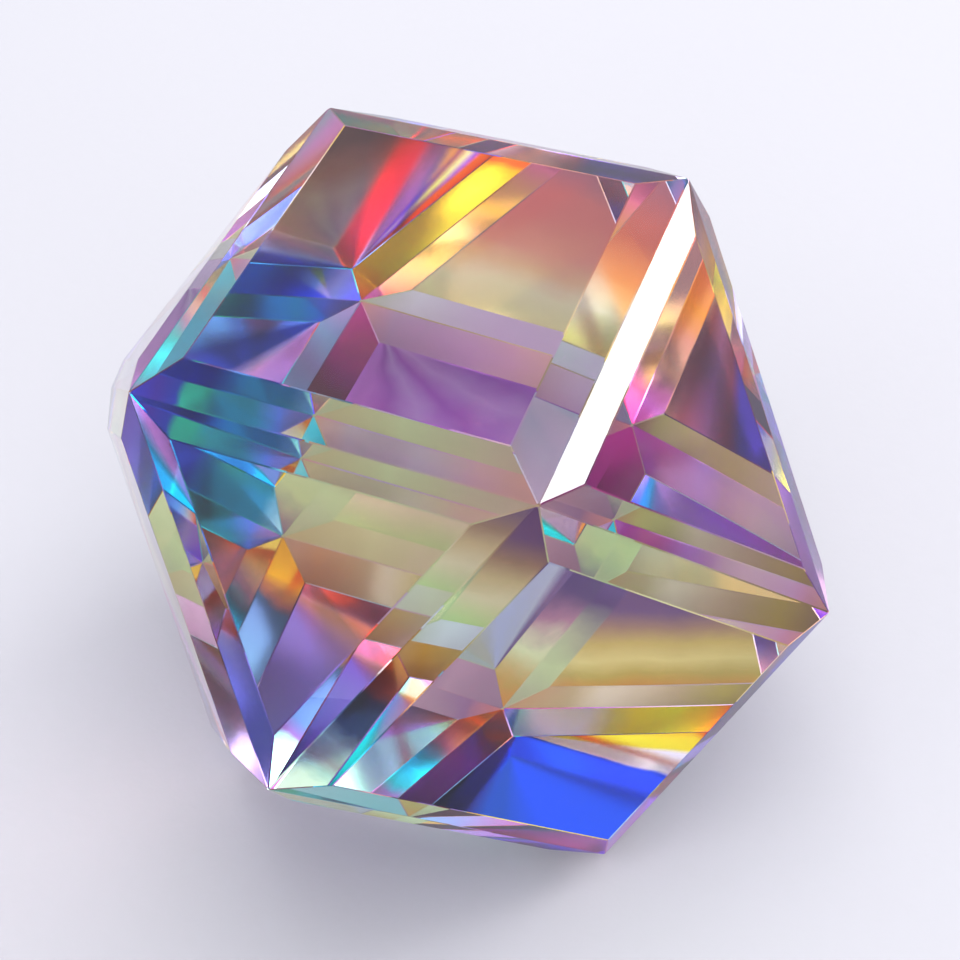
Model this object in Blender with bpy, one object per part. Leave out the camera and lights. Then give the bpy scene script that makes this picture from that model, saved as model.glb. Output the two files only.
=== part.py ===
"""A mystic topaz: one clear cut stone with fourteen framed facets.

The stone is cut from a block a little taller than it is wide. A ridge corner lies near the middle
of each of the block's twelve edges. Six four-sided facets lie in the sides of the block, and eight
three-sided facets take its corners off, so four facets meet at every ridge corner.

Every facet is then framed. Narrow bevels rise from its ridges to a flat table, and are mitred where
two of them meet. Sizes are in metres, +Z is up, and the stone rests on its bottom table at z = 0,
with the middle of its outline over the origin.
"""

import bmesh
import bpy
from mathutils import Vector

MM = 0.001

# The block, side to side.
BLOCK_WIDTH = 35.0 * MM
BLOCK_DEPTH = 34.9 * MM
BLOCK_HEIGHT = 36.2 * MM

# The frames, by how many sides the facet has: how wide its bevels are in the plane of the facet,
# and how far its table stands proud of the ridges.
FRAME_WIDTH = {4: 2.42 * MM, 3: 1.84 * MM}
TABLE_RISE = {4: 1.2 * MM, 3: 0.55 * MM}

# A hand-cut stone isn't quite even. Each ridge corner lies this far from the middle of its block
# edge, towards +X, +Y or +Z. The key names the two sides of the block that meet in the edge.
CORNER_SLIP = {
    "top front": 0.35 * MM,
    "top right": 1.8 * MM,
    "top back": 0.3 * MM,
    "top left": 0.0,
    "front left": 1.95 * MM,
    "front right": -1.05 * MM,
    "back left": 0.9 * MM,
    "back right": 0.5 * MM,
    "bottom front": 1.9 * MM,
    "bottom right": 0.0,
    "bottom back": 0.0,
    "bottom left": 0.0,
}

# The way out of each side of the block.
SIDES = {
    "left": Vector((-1, 0, 0)),
    "right": Vector((1, 0, 0)),
    "front": Vector((0, -1, 0)),
    "back": Vector((0, 1, 0)),
    "bottom": Vector((0, 0, -1)),
    "top": Vector((0, 0, 1)),
}

# Two faces that turn by less than this angle, in radians, belong to one flat facet.
FLAT_ANGLE = 0.002

COLLECTION = "mystic_topaz_gemstone"
NODE = "stone"
TOPAZ_COLOUR = (0.90, 0.82, 0.93, 1.0)
TOPAZ_IOR = 1.62
COATING_NM = 420.0


def clear_scene():
    """Remove every object, so that only the stone is left."""
    for obj in list(bpy.data.objects):
        bpy.data.objects.remove(obj, do_unlink=True)


def ridge_corner(edge_name):
    """The ridge corner on one edge of the block: the middle of that edge, moved along it."""
    first, second = (SIDES[side] for side in edge_name.split())
    towards_edge = first + second
    along_edge = Vector([1 - abs(value) for value in towards_edge])
    half_block = Vector((BLOCK_WIDTH, BLOCK_DEPTH, BLOCK_HEIGHT)) / 2
    return towards_edge * half_block + along_edge * CORNER_SLIP[edge_name]


def cut_facets(stone):
    """The fourteen plain facets: the hull of the ridge corners, with its flat faces merged."""
    for edge_name in CORNER_SLIP:
        stone.verts.new(ridge_corner(edge_name))
    bmesh.ops.convex_hull(stone, input=stone.verts[:])
    bmesh.ops.dissolve_limit(
        stone, angle_limit=FLAT_ANGLE, verts=stone.verts[:], edges=stone.edges[:]
    )
    bmesh.ops.recalc_face_normals(stone, faces=stone.faces[:])


def frame_facets(stone):
    """Give every facet its bevels and its raised table."""
    by_sides = {count: [f for f in stone.faces if len(f.verts) == count] for count in FRAME_WIDTH}
    for count, facets in by_sides.items():
        bmesh.ops.inset_individual(
            stone,
            faces=facets,
            thickness=FRAME_WIDTH[count],
            depth=TABLE_RISE[count],
            use_even_offset=True,
        )


def set_down(stone):
    """Move the stone so that its bottom table is at z = 0, under the middle of its outline."""
    points = [vert.co for vert in stone.verts]
    low = Vector([min(point[axis] for point in points) for axis in range(3)])
    high = Vector([max(point[axis] for point in points) for axis in range(3)])
    foot = Vector(((low.x + high.x) / 2, (low.y + high.y) / 2, low.z))
    bmesh.ops.translate(stone, verts=stone.verts[:], vec=-foot)


def coated_topaz():
    """Clear, polished topaz under the thin coating that gives a mystic topaz its colours."""
    material = bpy.data.materials.new("mystic_topaz")
    material.use_nodes = True
    shader = material.node_tree.nodes["Principled BSDF"]
    shader.inputs["Base Color"].default_value = TOPAZ_COLOUR
    shader.inputs["Metallic"].default_value = 0.0
    shader.inputs["Roughness"].default_value = 0.0
    shader.inputs["IOR"].default_value = TOPAZ_IOR
    shader.inputs["Transmission Weight"].default_value = 1.0
    shader.inputs["Thin Film Thickness"].default_value = COATING_NM
    material.diffuse_color = TOPAZ_COLOUR
    return material


def make_stone():
    """The finished stone, as one object in a collection of its own."""
    stone = bmesh.new()
    cut_facets(stone)
    frame_facets(stone)
    set_down(stone)
    mesh = bpy.data.meshes.new(NODE)
    stone.to_mesh(mesh)
    stone.free()
    mesh.materials.append(coated_topaz())
    collection = bpy.data.collections.new(COLLECTION)
    bpy.context.scene.collection.children.link(collection)
    collection.objects.link(bpy.data.objects.new(NODE, mesh))


clear_scene()
make_stone()
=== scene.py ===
from typing import NamedTuple

import bpy
import numpy as np
from mathutils import Matrix, Vector


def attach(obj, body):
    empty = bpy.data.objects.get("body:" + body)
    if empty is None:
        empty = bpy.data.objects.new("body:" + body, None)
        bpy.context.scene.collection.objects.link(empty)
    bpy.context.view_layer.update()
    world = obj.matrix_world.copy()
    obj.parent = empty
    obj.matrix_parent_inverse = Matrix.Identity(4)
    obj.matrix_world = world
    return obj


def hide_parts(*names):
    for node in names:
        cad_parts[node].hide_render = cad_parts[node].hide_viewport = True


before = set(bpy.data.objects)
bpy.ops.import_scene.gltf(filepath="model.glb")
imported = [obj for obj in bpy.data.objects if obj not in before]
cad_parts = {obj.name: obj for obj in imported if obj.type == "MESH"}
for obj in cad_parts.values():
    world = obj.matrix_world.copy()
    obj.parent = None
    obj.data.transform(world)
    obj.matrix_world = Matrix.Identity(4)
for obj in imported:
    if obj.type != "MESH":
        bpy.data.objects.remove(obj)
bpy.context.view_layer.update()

# %% [markdown]
# # A mystic topaz gemstone
# A mystic topaz is a clear cut stone under a coating far thinner than a hair. This lesson cuts the
# stone from a few measured sizes, gives every facet its own band of coating colours, and sets the
# stone on a pale floor under soft studio light.

# %% The size that the CAD model gives
MM = 0.001

# %% [markdown]
# ## The twelve ridge corners
# On the real stone, four facets meet at each ridge corner. They could be placed one by one by eye,
# but a cutter starts from a block and works from the middles of its edges, so the same is done
# here: every corner is half the block away from the centre along two axes, and a small slip along
# the third, because a hand-cut stone is never quite even.

# %% The block and its ridge corners
BLOCK = np.array([35.0, 34.9, 36.2]) * MM

# Which way each corner lies along X, Y and Z (0 marks the axis that its edge runs along), and how
# far it slips along that axis, in millimetres.
RIDGE_CORNERS = {
    "top front": ((0, -1, 1), 0.35),
    "top right": ((1, 0, 1), 1.8),
    "top back": ((0, 1, 1), 0.3),
    "top left": ((-1, 0, 1), 0.0),
    "front left": ((-1, -1, 0), 1.95),
    "front right": ((1, -1, 0), -1.05),
    "back left": ((-1, 1, 0), 0.9),
    "back right": ((1, 1, 0), 0.5),
    "bottom front": ((0, -1, -1), 1.9),
    "bottom right": ((1, 0, -1), 0.0),
    "bottom back": ((0, 1, -1), 0.0),
    "bottom left": ((-1, 0, -1), 0.0),
}


def ridge_corner_places(signs, slips):
    """Each corner is its signs times half the block, plus its slip along the axis whose sign is 0."""
    return signs * BLOCK / 2 + (signs == 0) * slips[:, None]


corner_signs = np.array([sign for sign, slip in RIDGE_CORNERS.values()], float)
corner_slips = np.array([slip for sign, slip in RIDGE_CORNERS.values()]) * MM
corner_places = ridge_corner_places(corner_signs, corner_slips)
print("ridge corners:", len(corner_places))

# %% [markdown]
# ## Fourteen framed facets
# Each square facet faces along one axis, and each triangular facet faces a corner of the block. A
# narrow bevel runs along every ridge and rises to a flat table, like a picture frame. An inset in
# Edit Mode would do it, but the sum is short: move every side of the facet inwards by the width of
# the frame, cross neighbouring sides to find the corners of the table, and lift them.

# %% The facets and their tables
# By how many sides the facet has: how wide its bevels are, and how far its table stands proud.
FRAME_WIDTH = {4: 2.42 * MM, 3: 1.84 * MM}
TABLE_RISE = {4: 1.2 * MM, 3: 0.55 * MM}

# The words for a step of -1, 0 or 1 along Z, Y and X.
HEIGHT_WORDS = {-1: "bottom", 0: "", 1: "top"}
DEPTH_WORDS = {-1: "front", 0: "", 1: "back"}
SIDE_WORDS = {-1: "left", 0: "", 1: "right"}

# A corner's reach is a whole number, so half a step tells the furthest corners from the rest.
HALF_STEP = 0.5


def facet_facings():
    """The six directions along an axis, then the eight towards a corner of the block."""
    axes = np.vstack([np.eye(3), -np.eye(3)])
    corners = np.array(np.meshgrid([-1, 1], [-1, 1], [-1, 1])).reshape(3, -1).T
    return np.vstack([axes, corners]).astype(float)


def facet_name(facing):
    """Words for a direction, such as top, or bottom back right."""
    across, deep, high = facing
    return " ".join(filter(None, [HEIGHT_WORDS[high], DEPTH_WORDS[deep], SIDE_WORDS[across]]))


def facet_loop(facing):
    """The facet's corners are those whose signs reach furthest along its facing, taken round it."""
    reach = corner_signs @ facing
    members = np.flatnonzero(reach > reach.max() - HALF_STEP)
    spokes = corner_places[members] - corner_places[members].mean(axis=0)
    ahead = spokes[0] / np.linalg.norm(spokes[0])
    aside = np.cross(facing, ahead)
    aside /= np.linalg.norm(aside)
    return members[np.argsort(np.arctan2(spokes @ aside, spokes @ ahead))]


def table_corners(ring):
    """The ring moved in by the frame's width, with its corners mitred, and lifted by its rise."""
    along = np.roll(ring, -1, axis=0) - ring
    along /= np.linalg.norm(along, axis=1)[:, None]
    normal = np.cross(along[0], along[1])
    normal /= np.linalg.norm(normal)
    inward = np.cross(normal, along)
    before = np.roll(inward, 1, axis=0)
    mitre = (inward + before) / (1 + (inward * before).sum(axis=1))[:, None]
    return ring + mitre * FRAME_WIDTH[len(ring)] + normal * TABLE_RISE[len(ring)]


facings = facet_facings()
facet_names = [facet_name(facing) for facing in facings]
loops = [facet_loop(facing) for facing in facings]
tables = [table_corners(corner_places[loop]) for loop in loops]
print("facets:", facet_names)

# %% [markdown]
# ## One mesh
# The tables and bevels share their corners, so the stone is one closed surface. Every corner is
# listed once, ridge corners first, and each face is a short list of their numbers. The whole stone
# is then set down, so that its bottom table lies on the floor under the middle of its outline.

# %% The stone's points and faces
def facet_across(number, ends):
    """The other facet whose loop holds both ends of a ridge."""
    shared = [ends <= set(loop.tolist()) for loop in loops]
    shared[number] = False
    return shared.index(True)


points = np.vstack([corner_places, *tables])
low, high = points.min(axis=0), points.max(axis=0)
points = points - [(low[0] + high[0]) / 2, (low[1] + high[1]) / 2, low[2]]

faces = []
face_facets = []
face_ridges = []
table_start = len(corner_places)
for number, loop in enumerate(loops):
    inner = table_start + np.arange(len(loop))
    table_start += len(loop)
    faces.append(inner.tolist())
    face_ridges.append(None)
    for here in range(len(loop)):
        there = (here + 1) % len(loop)
        ends = {int(loop[here]), int(loop[there])}
        faces.append([int(loop[here]), int(loop[there]), int(inner[there]), int(inner[here])])
        face_ridges.append(facet_across(number, ends))
    face_facets += [number] * (1 + len(loop))

mesh = bpy.data.meshes.new("stone_surface")
mesh.from_pydata(points.tolist(), [], faces)
print("points:", len(mesh.vertices), "faces:", len(mesh.polygons))

# %% [markdown]
# ## Where the coating is measured
# The coating's colour changes across a facet, so every face needs flat coordinates of its own. A
# printed texture would need an unwrap. Here each face is laid straight onto the UV map. On a table,
# U runs level and V uphill, in centimetres from the facet's middle. On a bevel, U runs along its
# ridge, from 0 at the end nearer the back foot of the stone to 1 at the far end.

# %% Flat coordinates on every face
CM = 0.01
BACK_FOOT = list(RIDGE_CORNERS).index("bottom back")


def facet_axes(facing):
    """Level and uphill directions in the facet; on the top and bottom they are X and Y."""
    normal = facing / np.linalg.norm(facing)
    level = np.cross([0, 0, 1], normal)
    if np.allclose(level, 0):
        level = np.array([1.0, 0, 0])
    level /= np.linalg.norm(level)
    return level, np.cross(normal, level)


def table_map(spots, owner):
    """Each face corner's distances from its facet's middle, along the facet's level and uphill."""
    middles = np.array([points[loop].mean(axis=0) for loop in loops])
    axes = np.array([facet_axes(facing) for facing in facings])
    return np.einsum("ij,ikj->ik", spots - middles[owner], axes[owner]) / CM


def bevel_map(spots, sides):
    """Each face corner's share of its ridge: its way along it times the ridge, over length squared."""
    ends = np.array([points[face[:2]] for face in faces])
    from_foot = np.linalg.norm(ends - points[BACK_FOOT], axis=2)
    swapped = (from_foot[:, 1] < from_foot[:, 0])[:, None]
    start = np.where(swapped, ends[:, 1], ends[:, 0])
    ridge = np.where(swapped, ends[:, 0], ends[:, 1]) - start
    start, ridge = np.repeat(start, sides, axis=0), np.repeat(ridge, sides, axis=0)
    share = ((spots - start) * ridge).sum(axis=1) / (ridge**2).sum(axis=1)
    return np.stack([share, np.zeros_like(share)], axis=1)


sides = [len(face) for face in faces]
spots = np.concatenate([points[face] for face in faces])
is_bevel = np.repeat([ridge is not None for ridge in face_ridges], sides)[:, None]
on_tables = table_map(spots, np.repeat(face_facets, sides))
flat_places = np.where(is_bevel, bevel_map(spots, sides), on_tables)
coating_uv = mesh.uv_layers.new(name="coating")
coating_uv.data.foreach_set("uv", flat_places.astype(np.float32).ravel())
print("coating coordinates:", len(coating_uv.data))

# %% [markdown]
# ## One object, with its edges eased
# A cutter leaves no knife edge on a stone, because it would chip. Each edge ends in a hairline flat
# that catches the light. It could be one more row of faces in the mesh. A Bevel modifier does the
# same without a change to the faces above, and one segment keeps the hairline flat.

# %% The stone as an object
HAIRLINE = 0.05 * MM
stone = bpy.data.objects.new("cut_stone", mesh)
bpy.context.scene.collection.objects.link(stone)
eased_edges = stone.modifiers.new("eased edges", "BEVEL")
eased_edges.width = HAIRLINE
eased_edges.segments = 1
eased_edges.limit_method = "NONE"
print("stone in mm:", (np.ptp(points, axis=0) / MM).round(2), "hairline in mm:", HAIRLINE / MM)

# %% [markdown]
# ## Colours with plain names
# The coating's colours are easier to choose, and to choose again, when each has a name. The numbers
# are linear light, red, green and blue, as Blender's shaders use them. The pale ones stand where the
# coating lets nearly all the light by, and the deep ones where it stops most of it.

# %% The palette
COLOURS = {
    "white": (1.0, 1.0, 1.0),
    "pearl": (0.97, 0.95, 1.0),
    "mist": (0.62, 0.70, 0.70),
    "cream": (0.95, 0.84, 0.56),
    "primrose": (1.0, 0.96, 0.54),
    "straw": (0.88, 0.78, 0.28),
    "lemon": (0.92, 0.90, 0.20),
    "yellow": (1.0, 0.90, 0.05),
    "amber": (1.0, 0.60, 0.02),
    "orange": (1.0, 0.20, 0.02),
    "lime": (0.76, 0.92, 0.46),
    "sage": (0.62, 0.66, 0.40),
    "olive": (0.66, 0.54, 0.12),
    "sand": (0.72, 0.58, 0.30),
    "tan": (0.74, 0.44, 0.24),
    "apricot": (0.96, 0.60, 0.30),
    "ochre": (0.80, 0.42, 0.07),
    "umber": (0.38, 0.25, 0.16),
    "russet": (0.48, 0.20, 0.15),
    "maroon": (0.30, 0.05, 0.09),
    "plum": (0.18, 0.05, 0.15),
    "crimson": (1.0, 0.02, 0.08),
    "rose": (0.90, 0.16, 0.24),
    "coral": (0.88, 0.28, 0.26),
    "salmon": (0.92, 0.38, 0.30),
    "blush": (1.0, 0.62, 0.60),
    "pink": (0.96, 0.56, 0.78),
    "petal": (0.70, 0.42, 0.46),
    "mauve": (0.48, 0.25, 0.34),
    "magenta": (0.66, 0.04, 0.36),
    "purple": (0.28, 0.09, 0.36),
    "orchid": (0.62, 0.20, 0.74),
    "amethyst": (0.82, 0.34, 0.96),
    "thistle": (0.66, 0.42, 0.64),
    "lilac": (0.80, 0.54, 0.90),
    "frost": (0.98, 0.80, 1.0),
    "lavender": (0.70, 0.60, 0.95),
    "iris": (0.60, 0.44, 0.82),
    "heather": (0.44, 0.38, 0.60),
    "violet": (0.54, 0.18, 1.0),
    "slate": (0.25, 0.18, 0.36),
    "dusk": (0.16, 0.10, 0.24),
    "indigo": (0.07, 0.04, 0.32),
    "navy": (0.03, 0.06, 0.34),
    "royal": (0.03, 0.14, 1.0),
    "steel": (0.18, 0.36, 0.72),
    "denim": (0.08, 0.15, 0.26),
    "azure": (0.34, 0.66, 1.0),
    "cyan": (0.03, 0.85, 1.0),
    "teal": (0.04, 0.46, 0.48),
    "emerald": (0.03, 0.44, 0.26),
    "lagoon": (0.30, 0.64, 0.66),
    "mint": (0.56, 1.0, 0.86),
}
print("named colours:", len(COLOURS))

# %% [markdown]
# ## How a thin film shows its colours
# A film as thin as a wave of light strengthens some colours and cancels others. Which ones depends
# on how thick the film is there, so the colours lie across a facet in bands. It also depends on how
# steeply the light meets it, so light from another facet brings up another order of bands. Blender's
# Principled shader has a thin film of its own, but only one even colour of it, and only for what it
# mirrors. So each order is written down here as a Film: the slant where it starts, the way its bands
# are laid on the facet, and the bands. Bands run straight along a facet, or fan out from a corner.

# %% A film and the ways to lay its bands
class Film(NamedTuple):
    """One order of colours. Slant is 1 minus the cosine of the light's angle to the facet's normal."""

    slant: float
    lay: tuple
    bands: dict
    shade: dict = {}


ALONG = ("run", (1, 0))
UPHILL = ("run", (0, 1))
ROUND_BACK_TIP = ("fan", (0.0, -1.48))
# The bottom's first passing film fans from the bottom tip with a large waver. Its orchid and lilac mottle is
# a painted view of the surroundings: purple cloth under the stone, seen through the bottom.
PAINTED_CLOTH_BOTTOM_TIP = ("painted cloth fan", (0.0, -1.44))
ROUND_BOTTOM_TIP = ("fan", (0.0, -1.44))
ROUND_LEFT_TIP = ("fan", (-0.93, -0.56))
ROUND_HEAD = ("fan", (0.0, 1.12))
print("a fan of bands starts at these corners, in cm:", ROUND_BACK_TIP[1], ROUND_BOTTOM_TIP[1])

# %% [markdown]
# ## A small helper for nodes
# A shader tree can be built by hand in the Shader Editor. In a script, one helper that makes a node,
# sets its options and fills its inputs keeps the tree short enough to read.

# %% Adding one node
def add_node(tree, kind, settings=None, inputs=None):
    """A new shader node. An input that is given a socket is linked to it, and a value is set."""
    node = tree.nodes.new("ShaderNode" + kind)
    for name, value in (settings or {}).items():
        setattr(node, name, value)
    for key, value in (inputs or {}).items():
        if isinstance(value, bpy.types.NodeSocket):
            tree.links.new(value, node.inputs[key])
        else:
            node.inputs[key].default_value = value
    return node


def mix_colours(tree, share, under, over, blend="MIX"):
    """One colour over another by a share. A Mix node's colour sockets are inputs 6 and 7, output 2."""
    settings = {"data_type": "RGBA", "blend_type": blend}
    return add_node(tree, "Mix", settings, {0: share, 6: under, 7: over}).outputs[2]


print("helper:", add_node.__name__, "-", add_node.__doc__)

# %% [markdown]
# ## Bands of colour
# A colour ramp turns one number into a band of colours. The number is the distance along the lay of
# the bands, or the angle round the corner that they fan from. On the real stone the film is never
# quite even, so its bands waver. A soft noise pushes the number to and fro by a small share of the
# bands' whole width. On the fan of the bottom's first passing film the share is large, and its
# mottle is a painted view of purple cloth under the stone, seen through the bottom.

# %% From a place on the facet to a colour
# The large waver of the bottom's mottled fan paints the look of purple cloth seen through the bottom; the
# other wavers are the film's own unevenness.
WAVER = {"fan": 0.03, "run": 0.2, "painted cloth fan": 0.5}

# A new stop on a ramp has to be put somewhere, and is moved to its own place straight after.
ANY_PLACE = 0.5


def place_on_facet(tree, lay):
    """A run is the dot product with its direction. A fan is the angle round its corner, in degrees."""
    kind, vector = lay
    uv = add_node(tree, "UVMap", {"uv_map": "coating"}).outputs["UV"]
    operands = {0: uv, 1: (*vector, 0)}
    if kind == "run":
        return add_node(tree, "VectorMath", {"operation": "DOT_PRODUCT"}, operands).outputs["Value"]
    away = add_node(tree, "VectorMath", {"operation": "SUBTRACT"}, operands)
    split = add_node(tree, "SeparateXYZ", None, {0: away.outputs["Vector"]})
    turn = add_node(tree, "Math", {"operation": "ARCTAN2"}, {0: split.outputs["Y"], 1: split.outputs["X"]})
    return add_node(tree, "Math", {"operation": "DEGREES"}, {0: turn.outputs[0]}).outputs[0]


def band_colour(tree, cloud, lay, bands):
    """The place plus a little noise, spread from 0 to 1 between the first and last band's places."""
    first, last = min(bands), max(bands)
    drift = (last - first) * WAVER[lay[0]] / 2
    waver = add_node(tree, "MapRange", None, {"Value": cloud, "To Min": -drift, "To Max": drift}).outputs[0]
    place = add_node(tree, "Math", {"operation": "ADD"}, {0: place_on_facet(tree, lay), 1: waver}).outputs[0]
    spread = add_node(tree, "MapRange", None, {"Value": place, "From Min": first, "From Max": last})
    ramp = add_node(tree, "ValToRGB", None, {"Fac": spread.outputs["Result"]})
    elements = ramp.color_ramp.elements
    while len(elements) < len(bands):
        elements.new(ANY_PLACE)
    for element, (position, colour) in zip(elements, sorted(bands.items())):
        element.position = (position - first) / (last - first)
        element.color = (*COLOURS[colour], 1)
    return ramp.outputs["Color"]


print("the bands waver by these shares of their width:", WAVER)

# %% [markdown]
# ## From one order to the next
# Layer Weight's Facing tells how slanted the light meets the facet, also where a ray inside the stone
# strikes it. Each order fades into the next over a narrow range of slant. A film may also carry a
# shade, which darkens its bands from the foot of the facet to its top.

# %% Joining the orders of one coat
SOFT_SLANT = 0.012


def film_colour(tree, cloud, facing, films):
    """The first film's colour, then each next one mixed over it by a smooth step at its slant."""
    colour = None
    for film in films:
        layer = band_colour(tree, cloud, film.lay, film.bands)
        if film.shade:
            shade = band_colour(tree, cloud, UPHILL, film.shade)
            layer = mix_colours(tree, 1.0, layer, shade, "MULTIPLY")
        if colour is None:
            colour = layer
            continue
        edges = {"Value": facing, "From Min": film.slant - SOFT_SLANT, "From Max": film.slant + SOFT_SLANT}
        share = add_node(tree, "MapRange", {"interpolation_type": "SMOOTHSTEP"}, edges).outputs["Result"]
        colour = mix_colours(tree, share, colour, layer)
    return colour


print("one order fades into the next over a slant of", 2 * SOFT_SLANT)

# %% [markdown]
# ## Clear topaz under its film
# Topaz bends light with an index of 1.62. Glass BSDF would give both what passes and what bounces one
# colour, so they are two shaders here, Refraction and Glossy, shared out by Fresnel, as Glass does
# inside. Past the critical angle Fresnel is 1, and the facet becomes a coloured mirror. The film
# works mostly on light that is inside already. Light that enters meets clear topaz with only a
# share of the film's tint, and a bare polish that mirrors white.

# %% The coated topaz
TOPAZ_IOR = 1.62
CLEAR_TOPAZ = (0.95, 0.93, 0.97, 1.0)
BARE_MIRROR = (1.0, 1.0, 1.0, 1.0)
FILM_BLUR = 0.1
OUTER_FILM = 0.35
CLOUD_SCALE = 180.0
CLOUD_DETAIL = 4.0

# At this blend, Layer Weight's Facing is 1 minus the cosine of the slant.
PLAIN_BLEND = 0.5


def polished_side(tree, passing, bouncing, blur):
    """Refraction in one colour and Glossy in the other, mixed by Fresnel for the topaz."""
    bent = add_node(tree, "BsdfRefraction", None, {"IOR": TOPAZ_IOR, "Roughness": 0.0, "Color": passing})
    # Glossy BSDF's node is still called by its old name, BsdfAnisotropic.
    gloss = add_node(tree, "BsdfAnisotropic", None, {"Roughness": blur, "Color": bouncing})
    share = add_node(tree, "Fresnel", None, {"IOR": TOPAZ_IOR})
    return add_node(tree, "MixShader", None, {0: share.outputs[0], 1: bent.outputs[0], 2: gloss.outputs[0]})


def coated_topaz(name, through, mirror):
    """Clear topaz outside. Inside, the film's colours for what passes and for what is mirrored."""
    material = bpy.data.materials.new(name)
    material.use_nodes = True
    tree = material.node_tree
    tree.nodes.clear()
    where = add_node(tree, "TexCoord").outputs["Object"]
    noise = {"Vector": where, "Scale": CLOUD_SCALE, "Detail": CLOUD_DETAIL}
    cloud = add_node(tree, "TexNoise", None, noise).outputs["Fac"]
    facing = add_node(tree, "LayerWeight", None, {"Blend": PLAIN_BLEND}).outputs["Facing"]
    inside = add_node(tree, "NewGeometry").outputs["Backfacing"]
    passing = film_colour(tree, cloud, facing, through)
    mirrored = film_colour(tree, cloud, facing, mirror)
    entering = mix_colours(tree, OUTER_FILM, CLEAR_TOPAZ, passing)
    outer = polished_side(tree, entering, BARE_MIRROR, 0.0)
    inner = polished_side(tree, passing, mirrored, FILM_BLUR)
    surface = add_node(tree, "MixShader", None, {0: inside, 1: outer.outputs[0], 2: inner.outputs[0]})
    add_node(tree, "OutputMaterial", None, {"Surface": surface.outputs[0]})
    return material


COATS = {}
print("topaz bends light by", TOPAZ_IOR)

# %% [markdown]
# ## The coats of the back and bottom facets
# The film is thickest behind and below, so these facets carry the strongest colours. Seen straight
# through, the back is a quiet sage. The bottom's orchid and violet mottle, where light passes, is a
# painted view of the surroundings: it stands in for mottled purple cloth under the stone, seen
# through the bottom, which the plain paper doesn't give. As mirrors these facets are far more vivid:
# a royal blue, yellow and crimson fan opens from their lowest corner. Each coat has its films for
# the light that passes, then its films for the light that it mirrors.

# %% Back and bottom tables
COATS["back"] = (
    [Film(0.0, ROUND_BACK_TIP, {45: "sage", 78: "sage", 100: "mist", 125: "mist", 131: "slate"})],
    [
        Film(0.0, ROUND_BACK_TIP, {45: "cyan", 57: "cyan", 61: "teal", 66: "heather", 108: "heather",
                                   118: "mauve", 124: "tan", 130: "ochre", 135: "amber"}),
        Film(0.415, ROUND_BACK_TIP, {45: "teal", 66: "heather", 100: "azure", 130: "azure"}),
        Film(0.46, ROUND_BACK_TIP, {45: "mint", 70: "white", 130: "white", 135: "cream"}),
        Film(0.52, ROUND_BACK_TIP, {45: "navy", 54: "steel", 58: "mint", 66: "cream", 73: "lime",
                                    97: "mist", 102: "blush", 112: "blush", 116: "pink", 119: "pink",
                                    121: "violet", 124: "white", 127: "violet", 129: "orange",
                                    135: "orange"},
             {-0.9: "white", -0.1: "cream", 0.3: "tan", 0.7: "umber", 1.4: "umber"}),
        Film(0.58, ROUND_BACK_TIP, {45: "mint", 66: "white", 88: "primrose", 100: "lilac", 108: "purple",
                                    130: "purple"}),
        Film(0.68, ROUND_BACK_TIP, {45: "sand", 95: "sand", 108: "tan"}),
    ],
)
COATS["bottom"] = (
    [
        # Painted view of the surroundings: this orchid and lilac mottle stands in for purple cloth under the
        # stone, seen through the bottom.
        Film(0.0, PAINTED_CLOTH_BOTTOM_TIP, {45: "orchid", 62: "lilac", 78: "orchid", 94: "lilac",
                                      108: "orchid", 122: "amethyst"}),
        Film(0.108, ROUND_BOTTOM_TIP, {45: "mint", 60: "white", 100: "white", 120: "cream"}),
    ],
    [
        Film(0.0, ROUND_BOTTOM_TIP, {45: "orchid", 60: "pink", 74: "pink", 86: "heather",
                                     100: "heather", 116: "iris", 132: "iris"}),
        Film(0.33, ROUND_BOTTOM_TIP, {45: "mint", 75: "thistle", 90: "cream", 118: "cream",
                                      135: "mint"}),
        Film(0.42, ROUND_BOTTOM_TIP, {45: "amber", 50: "yellow", 56: "yellow", 58: "white",
                                      66: "white", 67: "royal", 110: "royal", 118: "indigo",
                                      135: "indigo"}),
        Film(0.508, ROUND_BOTTOM_TIP, {45: "azure", 60: "lavender", 70: "white", 130: "white"}),
        Film(0.60, ROUND_BOTTOM_TIP, {45: "steel", 63: "steel", 68: "violet", 84: "violet",
                                      100: "iris", 112: "sand", 130: "sand"}),
    ],
)
print("films on the back and bottom:", sum(len(side) for key in COATS for side in COATS[key]))

# %% [markdown]
# ## The coats of the two bottom back corners
# These three-sided facets close the stone between its back and its bottom. The right one is straw
# and salmon where light passes, with an indigo and maroon mirror. The left one keeps to blues.

# %% Bottom back tables
COATS["bottom back right"] = (
    [
        Film(0.0, UPHILL, {-0.55: "lime", -0.35: "cream", -0.2: "sand", -0.06: "umber", 0.12: "dusk"}),
        Film(0.11, UPHILL, {-0.56: "ochre", -0.46: "olive", -0.34: "straw", -0.2: "olive",
                            -0.06: "umber", 0.08: "dusk", 0.2: "dusk"}),
        Film(0.162, UPHILL, {-0.5: "primrose", -0.3: "primrose", -0.08: "apricot", 0.12: "salmon",
                             0.4: "coral", 0.6: "coral", 1.0: "mauve"}),
    ],
    [
        Film(0.0, UPHILL, {-0.5: "straw", -0.2: "cream", 0.15: "tan", 0.5: "russet"}),
        Film(0.27, ROUND_HEAD, {-119: "plum", -96: "indigo", -87: "indigo", -82: "maroon",
                                -74: "mauve", -66: "russet", -61: "sand"}),
        Film(0.42, ROUND_HEAD, {-119: "rose", -103: "rose", -98: "white", -75: "white", -68: "cream",
                                -62: "orange"}),
    ],
)
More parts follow.
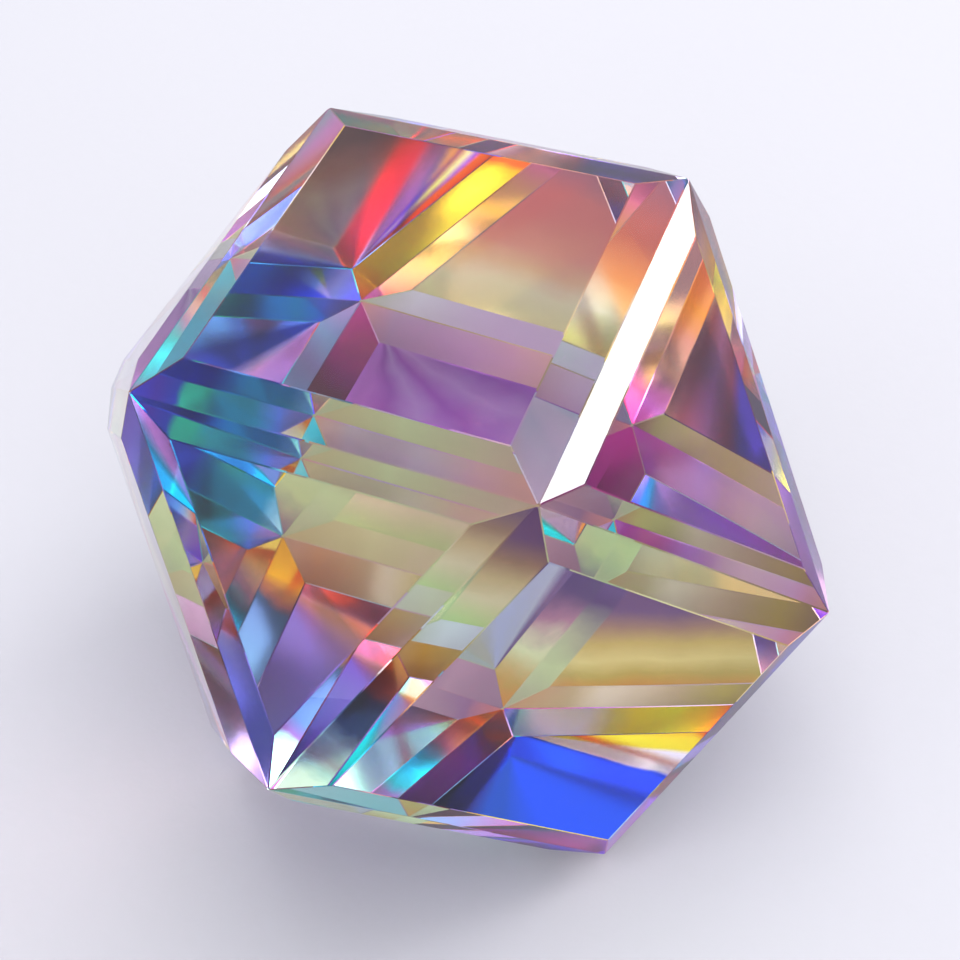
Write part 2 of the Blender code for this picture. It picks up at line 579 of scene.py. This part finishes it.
COATS["bottom back left"] = (
    [Film(0.0, UPHILL, {-0.6: "blush", 0.0: "lilac", 1.1: "lavender"})],
    [
        Film(0.0, ROUND_LEFT_TIP, {0: "mint", 24: "mint", 29: "iris", 40: "mauve", 60: "slate"}),
        Film(0.27, ROUND_LEFT_TIP, {0: "pink", 22: "pink", 28: "heather", 34: "navy", 46: "navy",
                                    54: "steel", 62: "steel"}),
        Film(0.335, ROUND_LEFT_TIP, {0: "russet", 30: "mauve", 60: "russet"}),
        Film(0.48, ROUND_LEFT_TIP, {0: "white", 30: "iris", 60: "lavender"}),
    ],
)
print("coats so far:", list(COATS))

# %% [markdown]
# ## The coats of the bevels behind and below
# A bevel is a narrow strip, so its bands simply run along it, from the end nearest the foot of the
# back facet. The bevels mirror the brightest light of all: yellow, crimson, cyan and mint streaks.

# %% Bevels of the back facet
COATS["back", "bottom back right"] = (
    [
        Film(0.0, ALONG, {0.0: "ochre", 0.08: "olive", 0.2: "lime", 0.3: "mauve", 0.42: "dusk",
                          1.0: "dusk"}),
        Film(0.08, ALONG, {0.0: "slate", 0.12: "lime", 0.25: "lime", 1.0: "cream"}),
    ],
    [
        Film(0.0, ALONG, {0.0: "rose", 0.13: "coral", 0.22: "cream", 0.4: "straw", 0.55: "tan",
                          1.0: "tan"}),
        Film(0.265, ALONG, {0.0: "orange", 0.08: "amber", 0.16: "yellow", 0.58: "yellow",
                            0.64: "amber", 0.68: "orange", 1.0: "orange"}),
        Film(0.335, ALONG, {0.0: "white", 1.0: "frost"}),
        Film(0.50, ALONG, {0.0: "orange", 0.2: "russet", 0.29: "orange", 0.36: "russet",
                           0.5: "maroon", 0.8: "blush", 1.0: "cream"}),
    ],
)
COATS["back", "bottom back left"] = (
    [
        Film(0.0, ALONG, {0.0: "mauve", 0.2: "petal", 0.3: "mauve", 1.0: "mauve"}),
        Film(0.14, ALONG, {0.0: "lagoon", 1.0: "mint"}),
    ],
    [
        Film(0.0, ALONG, {0.0: "mint", 0.1: "teal", 0.3: "teal", 0.42: "navy", 1.0: "navy"}),
        Film(0.34, ALONG, {0.0: "violet", 0.1: "lavender", 0.18: "steel", 0.3: "navy", 0.45: "teal",
                           1.0: "navy"}),
    ],
)
print("coats so far:", len(COATS))

# %% Bevels of the bottom back right facet
COATS["bottom back right", "back"] = (
    [Film(0.0, ALONG, {0.0: "sage", 0.18: "lime", 0.28: "sage", 0.42: "dusk", 0.6: "slate",
                       0.8: "coral", 1.0: "cream"})],
    [
        Film(0.0, ALONG, {0.0: "rose", 0.1: "blush", 0.25: "sand", 0.4: "tan", 0.55: "ochre",
                          0.72: "coral", 0.85: "plum", 1.0: "plum"}),
        Film(0.35, ALONG, {0.0: "crimson", 0.36: "rose", 0.5: "white", 1.0: "white"}),
        Film(0.465, ALONG, {0.0: "cream", 1.0: "white"}),
    ],
)
COATS["bottom back right", "bottom"] = (
    [
        Film(0.0, ALONG, {0.0: "sand", 0.25: "primrose", 0.6: "cream"}),
        Film(0.055, ALONG, {0.0: "sage", 0.15: "white", 0.4: "frost", 0.6: "frost"}),
        Film(0.145, ALONG, {0.0: "tan", 0.2: "sand", 0.35: "cream", 0.6: "sand", 0.75: "olive",
                            1.0: "umber"}),
        Film(0.19, ALONG, {0.0: "salmon", 0.1: "lemon", 0.45: "lemon", 0.7: "primrose",
                           1.0: "ochre"}),
    ],
    [
        Film(0.0, ALONG, {0.0: "plum", 1.0: "dusk"}),
        Film(0.40, ALONG, {0.0: "white", 0.5: "lavender", 1.0: "blush"}),
    ],
)
print("coats so far:", len(COATS))

# %% Bevels of the bottom facet
COATS["bottom", "bottom back right"] = (
    [
        Film(0.0, ALONG, {0.0: "rose", 0.12: "lilac", 0.45: "pink", 0.6: "blush"}),
        Film(0.034, ALONG, {0.0: "sand", 0.3: "straw", 0.6: "cream"}),
        Film(0.05, ALONG, {0.0: "tan", 0.12: "ochre", 0.3: "sand", 0.5: "dusk"}),
        Film(0.066, ALONG, {0.0: "mauve", 0.2: "pink", 0.6: "frost"}),
        Film(0.086, ALONG, {0.0: "tan", 0.12: "ochre", 0.3: "sand", 0.5: "dusk"}),
        Film(0.15, ALONG, {0.0: "magenta", 0.15: "magenta", 0.35: "orchid", 0.55: "lilac",
                           0.75: "lavender", 1.0: "sand"}),
    ],
    [
        Film(0.0, ALONG, {0.0: "mint", 0.15: "white", 0.32: "white", 0.4: "lemon", 0.48: "yellow",
                          0.62: "yellow", 0.72: "amber", 0.8: "orange"}),
        Film(0.278, ALONG, {0.0: "orange", 0.08: "crimson", 0.45: "crimson", 0.6: "rose"}),
        Film(0.332, ALONG, {0.0: "azure", 0.3: "iris", 0.6: "violet"}),
        Film(0.42, ALONG, {0.0: "azure", 0.3: "lavender", 0.55: "heather", 0.8: "heather"}),
    ],
)
COATS["bottom", "bottom back left"] = (
    [
        Film(0.0, ALONG, {0.0: "magenta", 0.12: "magenta", 0.3: "maroon", 1.0: "maroon"}),
        Film(0.115, ALONG, {0.0: "cyan", 0.4: "cyan", 1.0: "azure"}),
    ],
    [
        Film(0.0, ALONG, {0.0: "ochre", 0.12: "amber", 0.18: "russet", 0.22: "denim", 0.45: "denim",
                          0.52: "dusk", 0.57: "lagoon", 0.62: "mint", 1.0: "mint"}),
        Film(0.239, ALONG, {0.0: "amber", 0.16: "russet", 0.22: "denim", 0.37: "denim",
                            0.43: "mint", 1.0: "mint"}),
        Film(0.262, ALONG, {0.0: "lavender", 0.12: "heather", 0.25: "orchid", 0.5: "purple",
                            1.0: "purple"}),
        Film(0.34, ALONG, {0.0: "iris", 1.0: "lilac"}),
    ],
)
print("coats so far:", len(COATS))

# %% Bevels of the bottom back left facet
COATS["bottom back left", "back"] = (
    [Film(0.0, ALONG, {0.0: "salmon", 0.1: "mauve", 0.3: "petal", 1.0: "lilac"})],
    [Film(0.0, ALONG, {0.0: "mauve", 0.12: "steel", 0.22: "teal", 0.34: "teal", 0.4: "emerald",
                       0.46: "emerald", 0.5: "navy", 0.6: "indigo", 1.0: "royal"})],
)
COATS["bottom back left", "bottom"] = (
    [
        Film(0.0, ALONG, {0.0: "magenta", 0.22: "magenta", 1.0: "purple"}),
        Film(0.10, ALONG, {0.0: "lilac", 0.15: "azure", 0.3: "heather", 1.0: "heather"}),
    ],
    [
        Film(0.0, ALONG, {0.0: "olive", 0.15: "apricot", 0.28: "mauve", 0.33: "teal", 0.38: "cyan",
                          0.45: "teal", 0.5: "slate", 1.0: "slate"}),
        Film(0.5, ALONG, {0.0: "iris", 1.0: "thistle"}),
    ],
)
print("coats so far:", len(COATS))

# %% [markdown]
# ## The quiet coats
# The facets in front and on top were coated thinly. They still tint the light, as can be seen when
# the stone is looked at from behind, but softly. Three pale colours down each table are enough, and
# four along each bevel. As mirrors they are almost white, because light meets them many times over.

# %% The other tables and bevels
QUIET_TABLES = {
    "top": ("frost", "pearl", "pink"),
    "front": ("mint", "pearl", "lavender"),
    "left": ("apricot", "frost", "lavender"),
    "right": ("mint", "blush", "lilac"),
    "top front left": ("lime", "cream", "lavender"),
    "top front right": ("blush", "lilac", "lavender"),
    "top back left": ("azure", "lilac", "blush"),
    "top back right": ("cream", "blush", "lavender"),
    "bottom front left": ("azure", "lavender", "frost"),
    "bottom front right": ("pink", "lavender", "mint"),
}
FOOT_OF_TABLE, HEAD_OF_TABLE = -1.2, 1.2
QUIET_MIRROR = [Film(0.0, UPHILL, {FOOT_OF_TABLE: "white", 0.0: "pearl", HEAD_OF_TABLE: "white"})]
for facet, (low_colour, middle_colour, high_colour) in QUIET_TABLES.items():
    bands = {FOOT_OF_TABLE: low_colour, 0.0: middle_colour, HEAD_OF_TABLE: high_colour}
    COATS[facet] = ([Film(0.0, UPHILL, bands)], QUIET_MIRROR)
COATS["quiet bevel"] = (
    [Film(0.0, ALONG, {0.0: "frost", 0.35: "white", 0.65: "mint", 1.0: "petal"})],
    [Film(0.0, ALONG, {0.0: "white", 0.5: "pearl", 1.0: "white"})],
)
print("coats:", len(COATS))

# %% [markdown]
# ## Every face gets its coat
# A mesh may carry many materials, and each face names one by its slot. A table looks its coat up by
# its facet's name, and a bevel by its facet and the facet across the ridge.

# %% Materials on the faces
slot_of = {}
for key, (through, mirror) in COATS.items():
    slot_of[key] = len(mesh.materials)
    words = key if isinstance(key, str) else key[0] + " bevel by the " + key[1]
    mesh.materials.append(coated_topaz("coated topaz, " + words, through, mirror))
face_slots = []
for facet, ridge in zip(face_facets, face_ridges):
    key = facet_names[facet] if ridge is None else (facet_names[facet], facet_names[ridge])
    face_slots.append(slot_of.get(key, slot_of["quiet bevel"]))
mesh.polygons.foreach_set("material_index", np.array(face_slots, np.int32))
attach(stone, "root")
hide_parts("stone")
print("materials on the stone:", len(mesh.materials))

# %% [markdown]
# ## The floor
# The stone rests on pale paper. A clear stone shows the floor through its facets, so the paper has to
# be quiet: a flat plane, with a faint cloudiness and a fine tooth from two noise textures on Object
# coordinates. It lies a hair below the stone, because two faces in one plane would turn black.

# %% Floor
FLOOR_SIZE = 6.0
FLOOR_GAP = 0.05 * MM
DARKER_PAPER = (0.37, 0.36, 0.38, 1.0)
LIGHTER_PAPER = (0.40, 0.39, 0.41, 1.0)
PAPER_ROUGHNESS = 0.8
PAPER_CLOUD_SCALE = 12.0
TOOTH_SCALE = 900.0
TOOTH_STRENGTH = 0.15
TOOTH_DEPTH = 0.1 * MM

bpy.ops.mesh.primitive_plane_add(size=FLOOR_SIZE, location=(0, 0, -FLOOR_GAP))
floor = bpy.context.object
floor.name = "floor"
paper = bpy.data.materials.new("pale paper")
paper.use_nodes = True
paper_tree = paper.node_tree
paper_shader = paper_tree.nodes["Principled BSDF"]
paper_shader.inputs["Roughness"].default_value = PAPER_ROUGHNESS
on_paper = add_node(paper_tree, "TexCoord").outputs["Object"]
clouds = add_node(paper_tree, "TexNoise", None, {"Vector": on_paper, "Scale": PAPER_CLOUD_SCALE})
tint = mix_colours(paper_tree, clouds.outputs["Fac"], DARKER_PAPER, LIGHTER_PAPER)
tooth = add_node(paper_tree, "TexNoise", None, {"Vector": on_paper, "Scale": TOOTH_SCALE})
relief = {"Height": tooth.outputs["Fac"], "Strength": TOOTH_STRENGTH, "Distance": TOOTH_DEPTH}
bump = add_node(paper_tree, "Bump", None, relief)
paper_tree.links.new(tint, paper_shader.inputs["Base Color"])
paper_tree.links.new(bump.outputs["Normal"], paper_shader.inputs["Normal"])
floor.data.materials.append(paper)
print("floor lies in mm below the stone:", FLOOR_GAP / MM)

# %% [markdown]
# ## The light
# A stone shows whatever stands round it, so it wants large and even lights. Small bare lamps would
# leave hard white spots. Pale air comes from all sides, a wide soft box hangs overhead, and a low
# window at the right puts the long white streak on the bevel between the top and the right corner.

# %% Light
STUDIO_AIR = (0.92, 0.95, 1.0, 1.0)
STUDIO_AIR_STRENGTH = 1.1

# Places and sizes are in metres.
WINDOW = {"place": (0.46, 0.015, 0.195), "size": (0.22, 0.13), "watts": 0.8}
OVERHEAD = {"place": (0.25, -0.1, 1.5), "size": (1.4, 1.4), "watts": 14}

world = bpy.data.worlds.new("studio air")
bpy.context.scene.world = world
world.use_nodes = True
air = world.node_tree.nodes["Background"]
air.inputs["Color"].default_value = STUDIO_AIR
air.inputs["Strength"].default_value = STUDIO_AIR_STRENGTH


def soft_box(name, place, size, watts):
    """A flat lamp of this size, turned so that it shines at the origin."""
    lamp = bpy.data.lights.new(name, "AREA")
    lamp.shape = "RECTANGLE"
    lamp.size, lamp.size_y = size
    lamp.energy = watts
    holder = bpy.data.objects.new(name, lamp)
    holder.location = place
    holder.rotation_mode = "QUATERNION"
    holder.rotation_quaternion = (-Vector(place)).to_track_quat("-Z", "Y")
    bpy.context.scene.collection.objects.link(holder)
    return holder


lamps = [soft_box("window", **WINDOW), soft_box("overhead", **OVERHEAD)]
print("lamps:", {lamp.name: lamp.data.energy for lamp in lamps})

# %% [markdown]
# ## The picture's tones
# Blender's default view transform softens strong colours towards white, as film does. A coated stone
# lives by its pure colours, so Standard is used, which leaves them as they are. High Contrast
# deepens the darker bands.

# %% Tones
bpy.context.scene.view_settings.view_transform = "Standard"
bpy.context.scene.view_settings.look = "High Contrast"
print("look:", bpy.context.scene.view_settings.look)

# %% [markdown]
# ## The camera
# The stone is looked down on from in front, with the camera rolled a little. Its turn could be three
# angles, but two directions are easier to check: the way it looks and the way that is up. The third
# axis is square to both. Light has to bounce many times inside a stone, or its facets turn black, so
# the limits are raised.

# %% Camera
CAMERA_PLACE = Vector((-23.12, -98.00, 139.36)) * MM
CAMERA_AHEAD = Vector((0.15936, 0.62556, -0.76373)).normalized()
CAMERA_UP = Vector((0.32923, 0.69565, 0.63849))
LENS_MM = 93.75
SENSOR_MM = 36.0
NEAREST_SEEN = 5 * MM
BOUNCES = 24

lens = bpy.data.cameras.new("camera")
lens.lens = LENS_MM
lens.sensor_width = SENSOR_MM
lens.clip_start = NEAREST_SEEN
camera = bpy.data.objects.new("camera", lens)
bpy.context.scene.collection.objects.link(camera)
right = CAMERA_AHEAD.cross(CAMERA_UP).normalized()
turn = Matrix((right, right.cross(CAMERA_AHEAD), -CAMERA_AHEAD)).transposed()
camera.matrix_world = Matrix.Translation(CAMERA_PLACE) @ turn.to_4x4()
bpy.context.scene.camera = camera
cycles = bpy.context.scene.cycles
cycles.max_bounces = BOUNCES
cycles.transmission_bounces = BOUNCES
cycles.glossy_bounces = BOUNCES
print("camera to the origin in mm:", round(CAMERA_PLACE.length / MM, 1))

# %% [markdown]
# ## The size
# The finished stone has to be as large as the model that it dresses.
